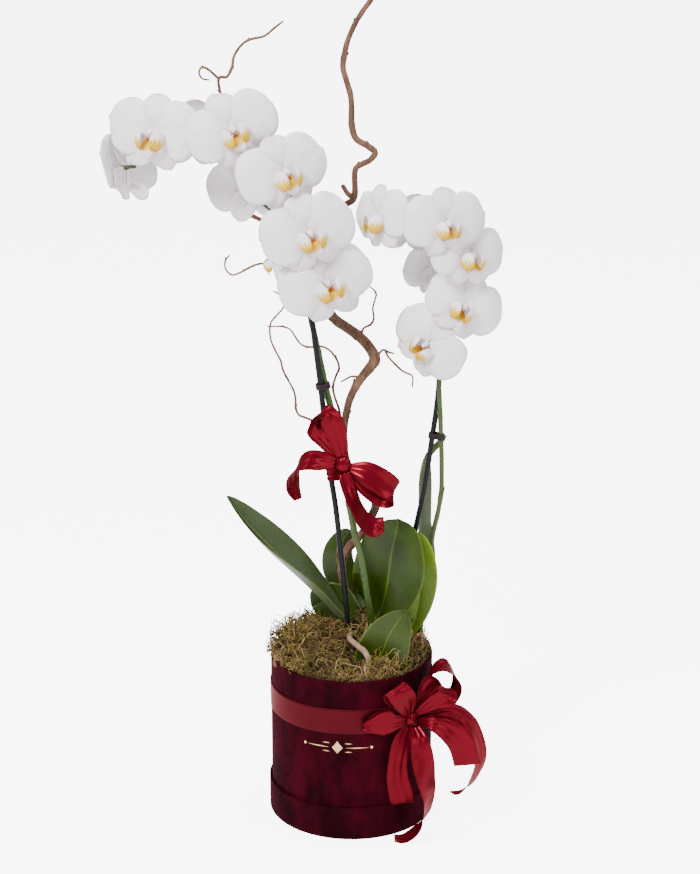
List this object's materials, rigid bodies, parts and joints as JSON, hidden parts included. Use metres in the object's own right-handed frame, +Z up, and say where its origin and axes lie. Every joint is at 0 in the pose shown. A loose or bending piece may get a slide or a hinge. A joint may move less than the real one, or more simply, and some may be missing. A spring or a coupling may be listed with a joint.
{
  "type": "potted orchid in a gift box",
  "caption": "White moth orchids with a contorted branch, staked in moss in a round velvet box with a satin ribbon band and bows.",
  "frame": {"origin": "centre of the underside of the lid that the box stands in, on the surface it rests on", "axes": "+Z up along the box's axis, -Y towards the front, +X to the right of someone facing the front"},
  "size_m": [0.3769, 0.1798, 0.8075],
  "materials": {
    "burgundy_velvet": "crushed velvet over card, matt with a soft sheen",
    "red_satin": "satin ribbon, smooth with sharp highlights",
    "liner_plastic": "thin plain lining",
    "pine_bark": "rough bark chips",
    "dry_moss": "dry, stringy, green to brown",
    "dark_stake": "coated support stick and clips",
    "willow_bark": "dry brown bark with knots",
    "orchid_crown": "living green plant base",
    "orchid_leaf": "waxy green leaf with a paler edge",
    "aerial_root": "dry greyish tan root",
    "flower_stem": "smooth green stem",
    "orchid_petal": "white petals with a yellow and orange lip"
  },
  "bodies": {
    "root": {"lid": "burgundy_velvet", "box_body": "burgundy_velvet", "ribbon_band": "red_satin", "box_bow_knot": "red_satin", "box_bow_loop_left": "red_satin", "box_bow_loop_upper_left": "red_satin", "box_bow_loop_upper_right": "red_satin", "box_bow_loop_back": "red_satin", "box_bow_tail_long_right": "red_satin", "box_bow_tail_short_right": "red_satin", "box_bow_tail_left": "red_satin", "box_bow_tail_middle": "red_satin", "stem_bow_wrap": "red_satin", "stem_bow_knot": "red_satin", "stem_bow_loop_upper": "red_satin", "stem_bow_loop_right": "red_satin", "stem_bow_tail_left": "red_satin", "stem_bow_tail_right": "red_satin", "liner": "liner_plastic", "orchid_bark": "pine_bark", "moss": "dry_moss", "stake_front": "dark_stake", "stake_back": "dark_stake", "clip_front": "dark_stake", "clip_back": "dark_stake", "contorted_branch": "willow_bark", "crown_front": "orchid_crown", "crown_back": "orchid_crown", "crown_offshoot": "orchid_crown", "leaf_long_left": "orchid_leaf", "leaf_back_left": "orchid_leaf", "leaf_low_left": "orchid_leaf", "leaf_broad_front": "orchid_leaf", "leaf_broad_right": "orchid_leaf", "leaf_offshoot": "orchid_leaf", "leaf_tall_right": "orchid_leaf", "root_front": "aerial_root", "root_right": "aerial_root", "spike_front": "flower_stem", "spike_back": "flower_stem", "blossom_left_1": "orchid_petal", "blossom_left_2": "orchid_petal", "blossom_left_3": "orchid_petal", "blossom_left_4": "orchid_petal", "blossom_left_5": "orchid_petal", "blossom_left_6": "orchid_petal", "blossom_left_7": "orchid_petal", "blossom_left_8": "orchid_petal", "blossom_left_9": "orchid_petal", "blossom_right_1": "orchid_petal", "blossom_right_2": "orchid_petal", "blossom_right_3": "orchid_petal", "blossom_right_4": "orchid_petal", "blossom_right_5": "orchid_petal", "blossom_right_6": "orchid_petal", "blossom_right_7": "orchid_petal"}
  },
  "joints": []
}
